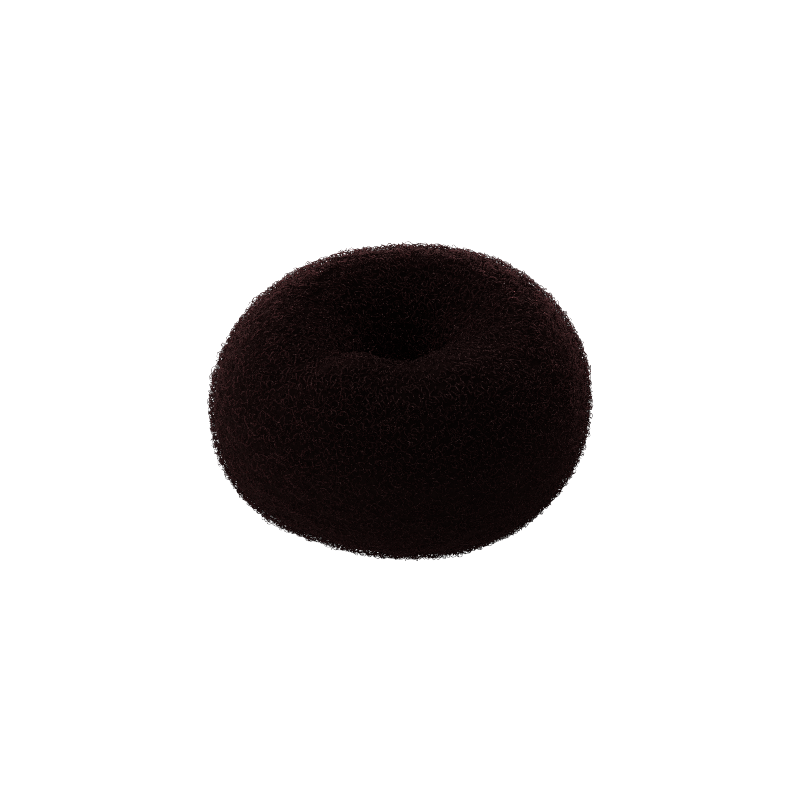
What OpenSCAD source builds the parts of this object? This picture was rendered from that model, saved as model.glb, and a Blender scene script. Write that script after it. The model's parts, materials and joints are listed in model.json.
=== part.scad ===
// Hair donut: a plump ring of curly net, wound into one soft tube, with an open hole for a ponytail.
// The ring lies flat on its underside. The origin is on that surface, at the middle of the hole.

/* [Ring] */
// Outside width of the ring, before its swells
outer_d = 90; // [64:1:130]
// Height of the ring as it rests, before its swells
ring_h = 46; // [30:1:70]
// Fullness of the tube's section, where 2 is an oval and more is squarer
fullness = 2.1; // [1.8:0.1:3]
// How far the soft underside is pressed flat by what it rests on
foot_sink = 1.5; // [0.6:0.1:4]

/* [Hole] */
// Width of the hole at its narrowest
hole_d = 15; // [9:0.5:24]
// Length of the hole's straight, narrowest stretch
waist_len = 10; // [5:0.5:16]

/* [Hidden] */

// Sections round the ring, and points round each section
sections = 72;
section_points = 36;

// Sizes of the tube's section, worked out from the outside of the ring and its hole
outer_r = outer_d / 2;
hole_r = hole_d / 2;
half_h = (ring_h + foot_sink) / 2;
mid_z = ring_h - half_h;
waist_share = pow(1 - pow(waist_len / 2 / half_h, fullness), 1 / fullness);
throat_r = (2 * hole_r - outer_r * (1 - waist_share)) / (1 + waist_share);
half_w = (outer_r - throat_r) / 2;
crest_r = throat_r + half_w;

// Swells and hollows of the soft ring, a row for each. Its columns are the angle of its middle
// round the ring, how far to each side it spreads, and its size as a share.
// Of the outside, outwards, as shares of the outer radius
outside_swells = [
    // angle, spread, share
    [ 60, 45,  0.042],
    [150, 45, -0.018],
    [205, 40,  0.036],
    [250, 35, -0.026],
    [300, 40,  0.015],
];
// Of the crown, upwards, as shares of the height
crown_swells = [
    // angle, spread, share
    [220, 34, -0.020],
    [241, 19,  0.036],
    [302, 28,  0.036],
];
// Of the upper edge of the hole, inwards, as shares of the hole's radius
lip_swells = [
    // angle, spread, share
    [220, 34, -0.20],
    [241, 19,  0.05],
    [302, 28,  0.05],
];

// Smallest angle from one direction to another
function turn(from, to) =
    let (way = abs(to - from) % 360)
    min(way, 360 - way);

// What one row adds at an angle, all of it at its middle and none past its spread
function swell_of(row, angle) =
    let (away = turn(row[0], angle) / row[1])
    away < 1 ? row[2] * pow(cos(90 * away), 2) : 0;

// What all the rows of a table add at an angle round the ring
function swell(table, angle) =
    let (parts = [for (row = table) swell_of(row, angle)])
    parts * [for (part = parts) 1];

// Superellipse, which bulges more than an oval as the fullness grows
function bulge(x) = sign(x) * pow(abs(x), 2 / fullness);

// Point of the ring at an angle round it and a tilt round its tube. Tilt 0 is the outside,
// 90 the crown, 180 the hole and 270 the underside.
function ring_point(angle, tilt) =
    let (
        outward = (1 + cos(tilt)) / 2,
        upper = max(0, sin(tilt)),
        lip = tilt > 90 && tilt < 180 ? pow(sin(2 * tilt), 2) : 0,
        r = crest_r + half_w * bulge(cos(tilt))
            + outer_r * swell(outside_swells, angle) * outward
            - hole_r * swell(lip_swells, angle) * lip,
        z = mid_z + half_h * bulge(sin(tilt)) + ring_h * swell(crown_swells, angle) * upper
    )
    [r * cos(angle), r * sin(angle), z];

// Tube that closes on itself round the hole, as one closed surface
module soft_tube() {
    points = [
        for (i = [0 : sections - 1], j = [0 : section_points - 1])
            ring_point(i * 360 / sections, j * 360 / section_points)
    ];
    // Number of the point at a section and a place in it, counted round and round
    function at(i, j) = (i % sections) * section_points + j % section_points;
    faces = [
        for (i = [0 : sections - 1], j = [0 : section_points - 1], half = [0, 1])
            half == 0
                ? [at(i, j), at(i + 1, j + 1), at(i + 1, j)]
                : [at(i, j), at(i, j + 1), at(i + 1, j + 1)]
    ];
    polyhedron(points, faces, convexity = 4);
}

module net_ring() {
    color("#2a1512") difference() {
        soft_tube();
        // Flat underside
        translate([-outer_d, -outer_d, -half_h]) cube([2 * outer_d, 2 * outer_d, half_h]);
        // Straight waist of the hole
        translate([0, 0, -half_h]) cylinder(h = 2 * half_h + ring_h, r = hole_r, $fn = 96);
    }
}

net_ring();
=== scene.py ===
import json
import math

import bpy
import numpy as np
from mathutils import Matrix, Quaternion, Vector
from mathutils.bvhtree import BVHTree


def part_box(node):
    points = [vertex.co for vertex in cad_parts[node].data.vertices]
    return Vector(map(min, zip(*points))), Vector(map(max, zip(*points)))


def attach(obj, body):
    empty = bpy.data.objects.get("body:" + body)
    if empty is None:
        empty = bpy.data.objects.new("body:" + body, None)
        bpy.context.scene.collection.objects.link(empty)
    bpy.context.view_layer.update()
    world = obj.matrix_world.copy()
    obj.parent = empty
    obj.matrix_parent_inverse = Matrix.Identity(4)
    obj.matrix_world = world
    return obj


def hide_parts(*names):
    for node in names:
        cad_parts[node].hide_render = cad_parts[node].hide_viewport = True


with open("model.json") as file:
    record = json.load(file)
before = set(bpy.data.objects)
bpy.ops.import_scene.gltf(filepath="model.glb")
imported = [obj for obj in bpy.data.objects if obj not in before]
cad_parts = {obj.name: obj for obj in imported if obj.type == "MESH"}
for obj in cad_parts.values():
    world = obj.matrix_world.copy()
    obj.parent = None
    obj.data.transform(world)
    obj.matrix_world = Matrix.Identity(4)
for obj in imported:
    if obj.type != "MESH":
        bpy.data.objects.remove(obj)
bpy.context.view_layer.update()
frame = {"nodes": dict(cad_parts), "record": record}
mm = 0.001
fullTurn = 2 * math.pi
print("frame loaded")


# materials

class Wire:
    # a node's output that can be added and multiplied
    def __init__(self, paint, socket):
        self.paint = paint
        self.socket = socket

    def maths(self, operation, first, second):
        return self.paint.node("ShaderNodeMath", {"operation": operation}, {0: first, 1: second})

    def __add__(self, other):
        return self.maths("ADD", self, other)

    def __radd__(self, other):
        return self.maths("ADD", other, self)

    def __mul__(self, other):
        return self.maths("MULTIPLY", self, other)

    def __rmul__(self, other):
        return self.maths("MULTIPLY", other, self)


class Paint:
    # a material and its nodes
    def __init__(self, name):
        self.material = bpy.data.materials.new(name)
        self.material.use_nodes = True
        self.tree = self.material.node_tree
        self.tree.nodes.clear()

    def node(self, kind, settings, sockets, output=0):
        made = self.tree.nodes.new(kind)
        for key, value in settings.items():
            setattr(made, key, value)
        for key, value in sockets.items():
            if isinstance(value, Wire):
                self.tree.links.new(value.socket, made.inputs[key])
            else:
                made.inputs[key].default_value = value
        return Wire(self, made.outputs[output] if made.outputs else None)

    def place(self):
        return self.node("ShaderNodeTexCoord", {}, {}, "Object")

    def attribute(self, name):
        return self.node("ShaderNodeAttribute", {"attribute_name": name}, {}, "Fac")

    def mix(self, factor, first, second):
        return self.node("ShaderNodeMix", {"data_type": "RGBA"}, {0: factor, 6: first, 7: second}, 2)

    def noise(self, size, detail):
        sockets = {"Vector": self.place(), "Scale": 1 / size, "Detail": detail}
        return self.node("ShaderNodeTexNoise", {}, sockets)

    def bump(self, height, distance):
        return self.node("ShaderNodeBump", {}, {"Height": height, "Distance": distance})

    def finish(self, sockets, through=None, share=0):
        # through is the colour of light that comes through from behind, if any does
        shader = self.node("ShaderNodeBsdfPrincipled", {}, sockets)
        if through:
            behind = self.node("ShaderNodeBsdfTranslucent", {}, {"Color": through})
            shader = self.node("ShaderNodeMixShader", {}, {0: share, 1: shader, 2: behind})
        self.node("ShaderNodeOutputMaterial", {}, {"Surface": shader})
        return self.material


# camera, lights and floor

cameraSet = {
    "elevation": 35.1,              # degrees above the floor
    "distance": 420 * mm,
    "lens": 78.8,                   # millimetres, as the sensor is
    "sensor": 36,
    "aim": (-0.6 * mm, 0, 21.0 * mm),
    "roll": -0.8,                   # degrees
    "nearest": 0.01,                # metres from the camera to what it can see
    "farthest": 20,
    "softness": 1.1,                # width in pixels that each pixel is blurred over
}
lightSet = {
    # name: place, width, height, watts, and whether it lights or only glints
    "front": ((0, -0.8, 0.6), 0.8, 0.6, 0.27, "soft"),
    "above": ((-0.2, 0.5, 0.9), 0.5, 0.5, 0.58, "soft"),
    "left": ((-0.8, 0.2, 0.5), 0.6, 0.5, 0.45, "soft"),
    "leftLow": ((-1.05, 0, 0.06), 0.9, 0.10, 0.97, "soft"),
    "behindLow": ((0, 0.5, 0.02), 0.8, 0.03, 3.6, "soft"),
    "frontGlint": ((-0.3, -0.75, 0.8), 0.3, 0.3, 0.30, "glint"),
    "topGlint": ((0, 0.1, 1.0), 0.3, 0.3, 2.2, "glint"),
}
lightsFace = (0, 0, 20 * mm)
stageSet = {
    "radius": 3.0,
    "corners": 96,
    "paper": (0.80, 0.80, 0.80, 1),
    "paperGrain": (0.78, 0.78, 0.78, 1),
    "grainSize": 1.5 * mm,
    "grainDetail": 4.0,
    "grainDepth": 0.05 * mm,
    "roughness": 0.85,
    "roughnessVaries": 0.1,
    "shine": 0.1,
    "glow": 1.3,                    # makes the floor white, as the lamps alone are too weak to
    "air": (1.0, 1.0, 1.0, 1),
    "airStrength": 0.05,
}


def makeCamera(look):
    tilt = math.radians(look["elevation"])
    back = Vector((0, -math.cos(tilt), math.sin(tilt)))
    data = bpy.data.cameras.new("camera")
    data.lens = look["lens"]
    data.sensor_width = look["sensor"]
    data.clip_start, data.clip_end = look["nearest"], look["farthest"]
    camera = bpy.data.objects.new("camera", data)
    bpy.context.collection.objects.link(camera)
    camera.location = Vector(look["aim"]) + back * look["distance"]
    camera.rotation_mode = "QUATERNION"
    upright = (-back).to_track_quat("-Z", "Y")
    camera.rotation_quaternion = upright @ Quaternion((0, 0, 1), math.radians(look["roll"]))
    scene = bpy.context.scene
    scene.camera = camera
    scene.view_settings.view_transform = "Standard"
    scene.cycles.use_denoising = False
    scene.cycles.filter_width = look["softness"]


def makeLights(lights, target):
    for name, (place, width, height, watts, use) in lights.items():
        data = bpy.data.lights.new(name, "AREA")
        data.shape = "RECTANGLE"
        data.size, data.size_y = width, height
        data.energy = watts
        lamp = bpy.data.objects.new(name, data)
        bpy.context.collection.objects.link(lamp)
        lamp.visible_glossy = use == "glint"
        lamp.visible_diffuse = use == "soft"
        lamp.visible_camera = False
        lamp.location = place
        lamp.rotation_mode = "QUATERNION"
        lamp.rotation_quaternion = (Vector(target) - Vector(place)).to_track_quat("-Z", "Y")


def floorPaint(look):
    paint = Paint("floor paper")
    grain = paint.noise(look["grainSize"], look["grainDetail"])
    return paint.finish({
        "Base Color": paint.mix(grain, look["paper"], look["paperGrain"]),
        "Roughness": look["roughness"] + look["roughnessVaries"] * grain,
        "Specular IOR Level": look["shine"],
        "Emission Color": look["paper"],
        "Emission Strength": look["glow"],
        "Normal": paint.bump(grain, look["grainDepth"]),
    })


def makeStage(look):
    world = bpy.data.worlds.new("air")
    world.use_nodes = True
    air = world.node_tree.nodes["Background"]
    air.inputs["Color"].default_value = look["air"]
    air.inputs["Strength"].default_value = look["airStrength"]
    bpy.context.scene.world = world
    bpy.ops.mesh.primitive_circle_add(
        vertices=look["corners"], radius=look["radius"], fill_type="NGON")
    floor = bpy.context.object
    floor.name = "floor"
    paper = floorPaint(look)
    floor.data.materials.append(paper)
    # its glow shows, and comes through the threads, but doesn't fill the dark net with light
    paper.cycles.emission_sampling = "NONE"
    floor.visible_glossy = False
    floor.visible_diffuse = False


makeCamera(cameraSet)
makeLights(lightSet, lightsFace)
makeStage(stageSet)
print("stage ready")


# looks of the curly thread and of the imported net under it

threadLook = {
    # deep is the colour of curls painted in shade, warm that of curls painted lit; random patches mix
    # them too
    "deep": (0.0110, 0.0048, 0.0046, 1),
    "warm": (0.0350, 0.0150, 0.0150, 1),
    "patchSize": 2.0 * mm,
    "patchLift": 0.5,               # added to the patches, which makes them 1 on the whole
    "through": (0.95, 0.56, 0.58, 1),
    "throughLeast": 0.08,           # share that comes through the threads that lie deep
    "throughMore": 0.30,            # and how much more through those that stand out
    "fibreSize": 0.3 * mm,
    "fibreDepth": 0.005 * mm,
    "detail": 2.0,
    "roughness": 0.18,
    "roughnessVaries": 0.2,
    "shine": 0.5,
    "shineTint": (1.0, 0.46, 0.45, 1),
    "fuzz": 0.4,                    # glow of threads that the light comes round
    "fuzzTint": (1.0, 0.45, 0.45, 1),
    "fuzzRoughness": 0.5,
}
coreLook = {
    "deep": (0.0080, 0.0043, 0.0039, 1),
    "warm": (0.0750, 0.0400, 0.0365, 1),
    "grainSize": 1.2 * mm,
    "grainDepth": 0.15 * mm,
    "detail": 4.0,
    "roughness": 0.85,
    "roughnessVaries": 0.1,
    "shine": 0.0,
    "fuzz": 0.3,                    # soft glow along the ring's edges
    "fuzzTint": (1.0, 0.45, 0.45, 1),
    "fuzzRoughness": 0.5,
}


def threadPaint(look):
    paint = Paint("curly thread")
    tone = paint.attribute("tone")
    bare = paint.attribute("bare")
    patch = paint.noise(look["patchSize"], look["detail"])
    fibre = paint.noise(look["fibreSize"], look["detail"])
    # painted light and shade: the thread's colour is darker on curls that lie deep and lighter on those
    # that stand out, and varies at random in patches
    shadedWarmth = tone * (patch + look["patchLift"])
    return paint.finish({
        "Base Color": paint.mix(shadedWarmth, look["deep"], look["warm"]),
        "Roughness": look["roughness"] + look["roughnessVaries"] * fibre,
        "Specular IOR Level": look["shine"],
        "Specular Tint": look["shineTint"],
        "Sheen Weight": look["fuzz"],
        "Sheen Tint": look["fuzzTint"],
        "Sheen Roughness": look["fuzzRoughness"],
        "Normal": paint.bump(fibre, look["fibreDepth"]),
    }, look["through"], look["throughLeast"] + look["throughMore"] * bare)


def corePaint(look):
    paint = Paint("packed net")
    # painted shade: the net's colour is darkened over the crown and into the hole
    tone = paint.attribute("tone")
    grain = paint.noise(look["grainSize"], look["detail"])
    return paint.finish({
        "Base Color": paint.mix(grain * tone, look["deep"], look["warm"]),
        "Roughness": look["roughness"] + look["roughnessVaries"] * grain,
        "Specular IOR Level": look["shine"],
        "Sheen Weight": look["fuzz"],
        "Sheen Tint": look["fuzzTint"],
        "Sheen Roughness": look["fuzzRoughness"],
        "Normal": paint.bump(grain, look["grainDepth"]),
    })


threadMaterial = threadPaint(threadLook)
coreMaterial = corePaint(coreLook)
print("materials ready")


# the ring's form

formSet = {
    "sections": 360,                # round the ring
    "points": 240,                  # round its tube
    "facetsRound": 1.8,             # sections over which the solid's facets are smoothed
    "facetsAcross": 3.5,            # points over which they are
}


def evened(grid, spreads):
    # a grid that closes on itself both ways, blurred over so many of its steps each way
    wave = np.fft.fft2(grid)
    for axis, spread in enumerate(spreads):
        rate = np.fft.fftfreq(grid.shape[axis])
        fade = np.exp(-2 * (math.pi * rate * spread) ** 2)
        wave *= fade.reshape([-1 if axis == i else 1 for i in range(2)])
    return np.fft.ifft2(wave).real


def unit(vectors):
    return vectors / np.linalg.norm(vectors, axis=-1, keepdims=True)


def castForm(look):
    # the solid's surface, found by rays from the middle of its tube
    low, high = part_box("net_ring")
    mounts = {mount["name"]: mount for mount in frame["record"]["mounts"]}
    holeR = mounts["ponytail_hole"]["dims"]["r_mm"] * mm
    crestR = ((high[0] - low[0]) / 2 + holeR) / 2
    midZ = (low[2] + high[2]) / 2
    mesh = frame["nodes"]["net_ring"].data
    solid = BVHTree.FromPolygons([v.co for v in mesh.vertices], [p.vertices for p in mesh.polygons])
    turns = np.arange(look["sections"]) / look["sections"] * fullTurn
    tilts = np.arange(look["points"]) / look["points"] * fullTurn
    reach = np.zeros((len(turns), len(tilts)))
    for i, turn in enumerate(turns):
        outward = Vector((math.cos(turn), math.sin(turn), 0))
        middle = outward * crestR + Vector((0, 0, midZ))
        for j, tilt in enumerate(tilts):
            way = outward * math.cos(tilt) + Vector((0, 0, math.sin(tilt)))
            reach[i, j] = solid.ray_cast(middle, way)[3]
    reach = evened(reach, (look["facetsRound"], look["facetsAcross"]))
    r = crestR + reach * np.cos(tilts)
    z = np.maximum(midZ + reach * np.sin(tilts), 0)
    return np.stack([r * np.cos(turns)[:, None], r * np.sin(turns)[:, None], z], -1)


def readForm(look):
    place = castForm(look)
    # points spaced evenly round each section
    loop = np.concatenate([place, place[:, :1]], 1)
    walked = np.cumsum(np.linalg.norm(np.diff(loop, axis=1), axis=-1), 1)
    walked = np.concatenate([np.zeros((len(place), 1)), walked], 1)
    even = np.arange(look["points"]) / look["points"]
    for i in range(len(place)):
        for axis in range(3):
            place[i, :, axis] = np.interp(even, walked[i] / walked[i, -1], loop[i, :, axis])
    along = unit(np.roll(place, -1, 0) - np.roll(place, 1, 0))
    across = unit(np.roll(place, -1, 1) - np.roll(place, 1, 1))
    return {
        "fields": np.concatenate([place, along, across, unit(np.cross(along, across))], -1),
        "girth": walked[:, -1].mean(),
    }


form = readForm(formSet)
girth = form["girth"]


def onRing(turn, share):
    # place, way along, way across and way out, where turn goes round the ring and share round its tube
    fields = form["fields"]
    x = turn % 1 * fields.shape[0]
    y = share % 1 * fields.shape[1]
    i, j = x.astype(int), y.astype(int)
    fx, fy = (x - i)[..., None], (y - j)[..., None]
    i, j = i % fields.shape[0], j % fields.shape[1]
    iNext, jNext = (i + 1) % fields.shape[0], (j + 1) % fields.shape[1]
    near = fields[i, j] * (1 - fy) + fields[i, jNext] * fy
    far = fields[iNext, j] * (1 - fy) + fields[iNext, jNext] * fy
    found = near * (1 - fx) + far * fx
    return [found[..., k:k + 3] for k in (0, 3, 6, 9)]


def swellAt(at, middle, spread):
    # 1 at the middle and 0 past the spread to each side, all of them shares of a whole round
    away = np.abs((at - middle + 0.5) % 1 - 0.5) / spread
    return np.cos(np.minimum(away, 1) * math.pi / 2)


print("form read, tube girth %.1f mm" % (girth / mm))


# meshes

tubeSet = {
    "startAcross": (0.36, 0.48, 0.8),   # a tube's first side is square to this
    "lanes": (0.1, 0.5, 0.9),           # places of its three sides across its course's strip of the bake
}


def makeMesh(name, points, quads, triangles, spots, shades, material):
    mesh = bpy.data.meshes.new(name)
    corners = np.concatenate([quads.ravel(), triangles.ravel()]).astype(np.int32)
    starts = np.concatenate([
        np.arange(len(quads)) * 4,
        len(quads) * 4 + np.arange(len(triangles)) * 3,
    ]).astype(np.int32)
    mesh.vertices.add(len(points))
    mesh.vertices.foreach_set("co", points.astype(np.float32).ravel())
    mesh.loops.add(len(corners))
    mesh.loops.foreach_set("vertex_index", corners)
    mesh.polygons.add(len(starts))
    mesh.polygons.foreach_set("loop_start", starts)
    mesh.polygons.foreach_set("use_smooth", np.ones(len(starts), dtype=bool))
    layer = mesh.uv_layers.new(name="OFBake")
    layer.data.foreach_set("uv", spots[corners].astype(np.float32).ravel())
    # per point: painted light and shade with a random tone, and the share of light that comes through
    # from behind
    for column, shade in enumerate(["tone", "bare"]):
        values = mesh.attributes.new(shade, "FLOAT", "POINT")
        values.data.foreach_set("value", shades[:, column].astype(np.float32))
    mesh.update()
    mesh.validate()
    mesh.materials.append(material)
    piece = bpy.data.objects.new(name, mesh)
    bpy.context.collection.objects.link(piece)
    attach(piece, "root")
    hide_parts("net_ring")
    print("%s: %d triangles" % (name, 2 * len(quads) + len(triangles)))
    return piece


def makeThreads(name, paths, spots, shades, thick, look):
    # three-sided closed tubes along many paths of as many points each
    count, steps = paths.shape[:2]
    ahead = unit(np.gradient(paths, axis=1))
    side = np.zeros_like(paths)
    side[:, 0] = unit(np.cross(ahead[:, 0], look["startAcross"]))
    for step in range(1, steps):
        turned = side[:, step - 1]
        turned = turned - ahead[:, step] * (turned * ahead[:, step]).sum(-1, keepdims=True)
        side[:, step] = unit(turned)
    other = np.cross(ahead, side)
    angles = np.arange(3) / 3 * fullTurn
    rings = [paths + thick / 2 * (math.cos(a) * side + math.sin(a) * other) for a in angles]
    points = np.stack(rings, 2)
    number = np.arange(count * steps * 3).reshape(count, steps, 3)
    here, there = number[:, :-1], number[:, 1:]
    quads = np.stack([here, np.roll(here, -1, 2), np.roll(there, -1, 2), there], -1)
    caps = np.concatenate([number[:, 0, ::-1], number[:, -1]])
    spread = np.repeat(spots[:, :, None, :2], 3, 2)
    spread[..., 1] += np.array(look["lanes"]) * spots[:, :, None, 2]
    shadeOf = np.repeat(shades[:, :, None], 3, 2).reshape(-1, 2)
    return makeMesh(name, points.reshape(-1, 3), quads.reshape(-1, 4), caps,
                    spread.reshape(-1, 2), shadeOf, threadMaterial)


def drift(rng, count, knots):
    # random values joined by a smooth curve that ends where it starts
    values = rng.standard_normal(knots)
    x = np.linspace(0, knots, count)
    i = np.floor(x).astype(int)
    f = x - i
    a, b, c, d = (values[(i + k) % knots] for k in (-1, 0, 1, 2))
    bend = 2 * b + (c - a) * f + (2 * a - 5 * b + 4 * c - d) * f ** 2 + (3 * b - a - 3 * c + d) * f ** 3
    return bend / 2


# how far the curls stand out round the ring

napSet = {
    "tight": 287 / 360,             # way round the ring where the net lies tight, with few curls out
    "spread": 76 / 360,
    "least": 0.1,
}


def napAt(turn, look):
    return 1 - (1 - look["least"]) * swellAt(turn, look["tight"], look["spread"]) ** 2


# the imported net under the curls

coreSet = {
    "seed": 4,
    "round": 200,                   # points round the ring
    "across": 100,                  # points round its tube
    "depth": 1.0 * mm,              # under the ring's surface
    "tightDepth": 0.6,              # share of that where the net lies tight
    "lowest": 0.3 * mm,             # above the floor
    "lumps": 0.15 * mm,
    "lumpSpread": 1.2,              # points
    "paintedShade": 0.68,                   # painted shade: how much darker the net's colour is made over the crown and into the hole
    "paintedShadeMiddle": 0.30,             # way round the tube
    "paintedShadeSpread": 0.27,
    "paintedShadeFall": 0.5,                # the lower, the more suddenly it ends
    "fill": 0.8,
}


def makeCore(look):
    rng = np.random.default_rng(look["seed"])
    turns = np.arange(look["round"]) / look["round"]
    shares = np.arange(look["across"]) / look["across"]
    turn, share = np.meshgrid(turns, shares, indexing="ij")
    place, along, across, out = onRing(turn, share)
    lumps = evened(rng.standard_normal(turn.shape), (look["lumpSpread"], look["lumpSpread"]))
    lumps *= look["lumps"] / lumps.std()
    nap = napAt(turn, napSet)
    depth = look["depth"] * (look["tightDepth"] + (1 - look["tightDepth"]) * nap)
    points = place - out * (depth + lumps)[..., None]
    points[..., 2] = np.maximum(points[..., 2], look["lowest"])
    number = np.arange(turn.size).reshape(turn.shape)
    right, up = np.roll(number, -1, 0), np.roll(number, -1, 1)
    quads = np.stack([number, right, np.roll(right, -1, 1), up], -1).reshape(-1, 4)
    spots = np.stack([turn, share], -1).reshape(-1, 2)
    # painted shade: the net's colour is made darker over the crown and into the hole
    paintedShadeMask = look["paintedShade"] * swellAt(share, look["paintedShadeMiddle"], look["paintedShadeSpread"]) ** look["paintedShadeFall"]
    shades = np.stack([1 - paintedShadeMask.ravel(), np.zeros(paintedShadeMask.size)], -1)
    core = makeMesh("wound_core", points.reshape(-1, 3), quads, np.zeros((0, 3)), spots,
                    shades, coreMaterial)


makeCore(coreSet)


# courses of curly thread that run round the ring in knitted loops

threadSet = {
    "seed": 100,
    "finePoints": 6001,             # along a course, before its curls are spaced on it
    "wander": 0.4 * mm,             # of a course to each side
    "wanderKnots": 90,              # random values round the ring that it wanders by
    "loopNeck": 0.10,               # share of a knitted loop's width by which its neck is drawn in
    "stepsPerCurl": 7,
    "curlsPerTube": 6,              # the course is cut into short closed tubes
    "swayLength": 3.0 * mm,         # how far along a course before its curls turn another way
    "tightDepth": 0.5,              # share of a course's depth where the net lies tight
    "unevenEvery": 1.6,             # curls from one that runs early or late to the next
    "radiusVaries": 0.25,
    "radiusEvery": 2,               # curls from one that is small, large or pulled out to the next
    "radiusLeast": 0.45,
    "radiusMost": 1.8,
    "pulledOver": 0.4,              # the higher, the fewer curls are pulled out
    "pulledMost": 2.0,
    "footing": 0.52,                # thread's widths from the floor to its middle, at least
}
shadeSet = {
    "paintedLightFrom": -0.35 * mm,         # height over the surface from which the curls are painted lighter, as painted light
    "paintedLightOver": 0.60 * mm,          # and how much higher they are painted fully lit
    "tone": 0.45,                   # on the whole
    "toneVaries": 0.7,
    "toneMost": 1.4,
    "tonesPerCurl": 1.5,
    "bareFrom": -0.55 * mm,         # the same two heights for light that comes from behind
    "bareOver": 0.75 * mm,
    "bareAt": (-0.10, 0.02, 0.14),  # ways round the tube
    "bare": (0.35, 0.55, 0.90),     # how much of the light from behind gets to the threads there
    "bareNap": 1.5,                 # the higher, the less of it where the net lies tight
}
outerNet = {
    "curl": 1.65 * mm,              # length of a curl along its course
    "radius": 0.56 * mm,
    "reach": 0.60 * mm,             # of a curl to each side of its course
    "thick": 0.18 * mm,
    "depth": 0.40 * mm,             # of the course's middle under the ring's surface
    "depthVaries": 0.18 * mm,
    "swing": 0.6 * mm,              # of the knitted loops to each side
    "lift": 0.12 * mm,              # of their heads above the surface
    "pulled": 0.42 * mm,            # of the curls that stand out of it
    "sway": 0.6,                    # radians that the curls turn in the surface
    "lean": 1.1,                    # radians that they lie over
    "uneven": 1.4,                  # radians that one runs early or late
    # added to the painted light of the curls
    "tone": 0.0,
}
# the crown's and the hole's curls get more painted light
crownNet = dict(outerNet, curl=1.45 * mm, radius=0.45 * mm, reach=0.90 * mm, thick=0.27 * mm,
                pulled=0.3 * mm, swing=0.3 * mm, sway=0.40, lean=0.6, uneven=0.8, tone=0.25)
holeNet = dict(crownNet, pulled=0.15 * mm)
nets = [
    # name, kind, from and to as shares of the girth, space between courses, loops round the ring
    ("belly_net", outerNet, -0.26, -0.1, 1.1 * mm, 80),
    ("side_net", outerNet, -0.1, 0.04, 1.2 * mm, 80),
    ("shoulder_net", outerNet, 0.04, 0.17, 1.2 * mm, 80),
    ("crown_net", crownNet, 0.17, 0.28, 1.6 * mm, 60),
    ("lip_net", crownNet, 0.28, 0.38, 1.7 * mm, 44),
    ("hole_net", holeNet, 0.38, 0.63, 1.8 * mm, 26),
    ("foot_net", outerNet, 0.63, 0.74, 2.8 * mm, 36),
]


def layCourse(rng, share, odd, kind, loops, look):
    # where a course runs, in steps of its curls
    fine = np.linspace(0, 1, look["finePoints"])
    wave = fullTurn * loops * fine + math.pi * odd
    wander = look["wander"] * drift(rng, len(fine), look["wanderKnots"])
    shares = share + (kind["swing"] * np.cos(wave) + wander) / girth
    turns = fine + look["loopNeck"] / loops * np.sin(2 * wave)
    steps = np.linalg.norm(np.diff(onRing(turns, shares)[0], axis=0), axis=-1)
    walked = np.concatenate([[0], np.cumsum(steps)])
    length = walked[-1]
    tubes = max(1, round(length / kind["curl"] / look["curlsPerTube"]))
    curls = tubes * look["curlsPerTube"]
    even = np.linspace(0, length, curls * look["stepsPerCurl"] + 1)
    return {
        "turn": np.interp(even, walked, turns),
        "share": np.interp(even, walked, shares),
        "head": np.cos(np.interp(even, walked, wave)),
        "way": even / length,
        "length": length,
        "tubes": tubes,
        "curls": curls,
    }


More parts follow.
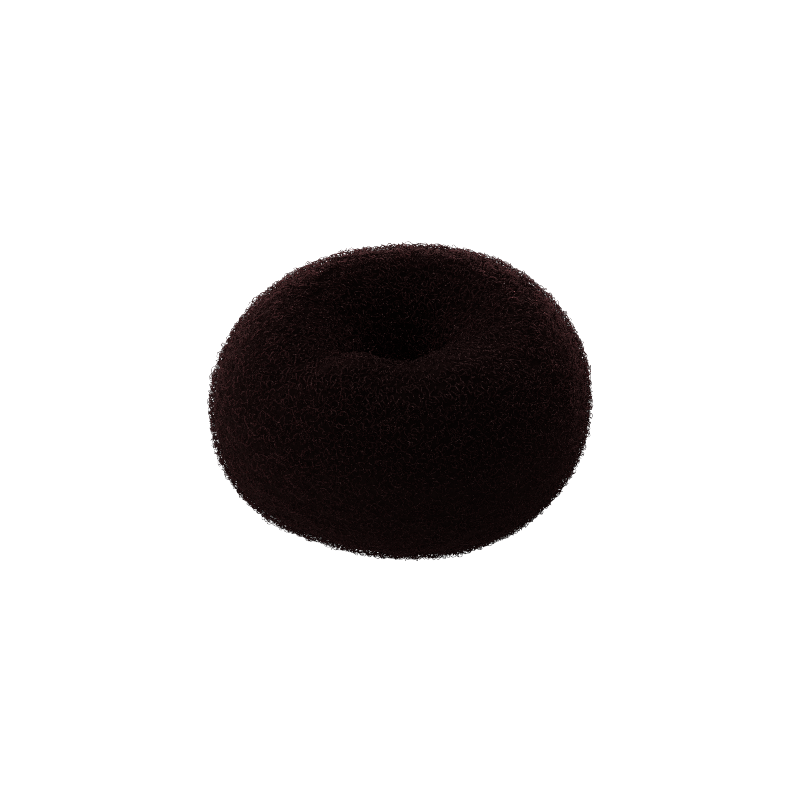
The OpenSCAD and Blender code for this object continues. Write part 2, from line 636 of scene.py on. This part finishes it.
def curlCourse(rng, course, kind, nap, look):
    # the thread's path along a course, and its height over the ring's surface
    count, curls = len(course["turn"]), course["curls"]
    swayKnots = round(course["length"] / look["swayLength"])
    early = kind["uneven"] * drift(rng, count, round(curls / look["unevenEvery"]))
    spin = fullTurn * curls * course["way"] + early
    grown = 1 + look["radiusVaries"] * drift(rng, count, curls // look["radiusEvery"])
    grown = np.clip(grown, look["radiusLeast"], look["radiusMost"])
    sway = kind["sway"] * drift(rng, count, swayKnots)
    lean = kind["lean"] * drift(rng, count, swayKnots)
    depth = kind["depth"] * (look["tightDepth"] + (1 - look["tightDepth"]) * nap)
    depth += kind["depthVaries"] * drift(rng, count, swayKnots) - kind["lift"] * course["head"]
    pulled = drift(rng, count, curls // look["radiusEvery"]) - look["pulledOver"]
    depth -= kind["pulled"] * nap * np.clip(pulled, 0, look["pulledMost"])
    place, along, across, out = onRing(course["turn"], course["share"])
    heading = unit(np.gradient(place, axis=0))
    beside = unit(np.cross(out, heading))
    axis = heading * np.cos(sway)[:, None] + beside * np.sin(sway)[:, None]
    sideways = beside * np.cos(sway)[:, None] - heading * np.sin(sway)[:, None]
    upright = out * np.cos(lean)[:, None] + axis * np.sin(lean)[:, None]
    path = place - out * depth[:, None]
    path += sideways * (kind["reach"] * grown * np.cos(spin))[:, None]
    path += upright * (kind["radius"] * grown * np.sin(spin))[:, None]
    path[:, 2] = np.maximum(path[:, 2], kind["thick"] * look["footing"])
    return path, ((path - place) * out).sum(-1)


def shadeCourse(rng, course, kind, nap, height, look):
    # painted light and shade: the curls that stand out are painted lit, those that lie deep are painted
    # dark, and all of them also vary at random in tone
    tone = np.clip((height - look["paintedLightFrom"]) / look["paintedLightOver"] + kind["tone"], 0, 1)
    uneven = drift(rng, len(height), round(course["curls"] * look["tonesPerCurl"]))
    tone *= np.clip(look["tone"] + look["toneVaries"] * uneven, 0, look["toneMost"])
    bare = np.clip((height - look["bareFrom"]) / look["bareOver"], 0, 1)
    bare *= np.interp(course["share"], look["bareAt"], look["bare"]) * nap ** look["bareNap"]
    return np.stack([tone, bare], -1)


def makeNet(index, name, kind, first, last, spacing, loops, look):
    rng = np.random.default_rng(look["seed"] + index)
    rows = round((last - first) * girth / spacing)
    tubeSteps = look["curlsPerTube"] * look["stepsPerCurl"]
    paths, spots, shades = [], [], []
    for row in range(rows):
        share = first + (last - first) * (row + 0.5) / rows
        course = layCourse(rng, share, row % 2, kind, loops, look)
        turn = course["turn"]
        nap = napAt(turn, napSet)
        path, height = curlCourse(rng, course, kind, nap, look)
        shade = shadeCourse(rng, course, kind, nap, height, shadeSet)
        spot = np.stack([turn, np.full_like(turn, row / rows), np.full_like(turn, 1 / rows)], -1)
        # cut into tubes that share their end points
        pick = np.arange(course["tubes"])[:, None] * tubeSteps + np.arange(tubeSteps + 1)
        paths.append(path[pick])
        spots.append(spot[pick])
        shades.append(shade[pick])
    makeThreads(name, np.concatenate(paths), np.concatenate(spots), np.concatenate(shades),
                kind["thick"], tubeSet)


for index, net in enumerate(nets):
    makeNet(index, *net, threadSet)
print("net ready")
